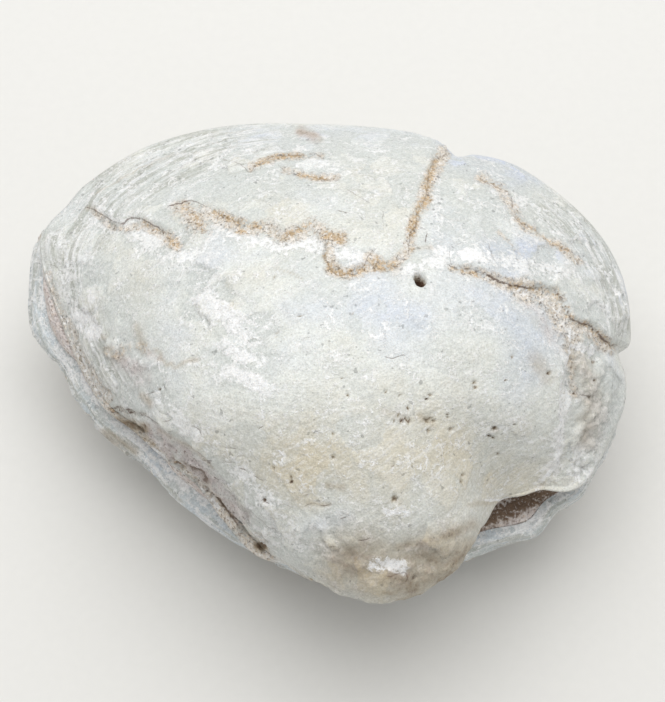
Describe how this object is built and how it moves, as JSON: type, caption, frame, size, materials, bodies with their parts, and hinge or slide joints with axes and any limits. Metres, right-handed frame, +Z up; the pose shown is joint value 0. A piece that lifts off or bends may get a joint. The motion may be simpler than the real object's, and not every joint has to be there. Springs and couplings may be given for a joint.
{
  "type": "opalised fossil shell",
  "caption": "Opalised fossil clam, closed and lying on its lower valve, with cracked pale satin opal valves and gritty stone packed in the seam.",
  "frame": {"origin": "centre of the shell's bounding box at the level it lies on", "axes": "+Z up as the shell lies, +X along the shell's length, -Y towards the beaks and +Y towards the open margin, which is tilted up a few degrees"},
  "size_m": [0.0866, 0.0743, 0.0431],
  "materials": {
    "upper_opal": "satin opal, pale grey-green with rust stains in the cracks",
    "lower_opal": "satin opal, bluish white with fine growth lines",
    "grit": "rough packed sandy grit, pinkish brown"
  },
  "bodies": {
    "root": {"upper_valve": "upper_opal", "lower_valve": "lower_opal", "grit_seam": "grit"}
  },
  "joints": []
}
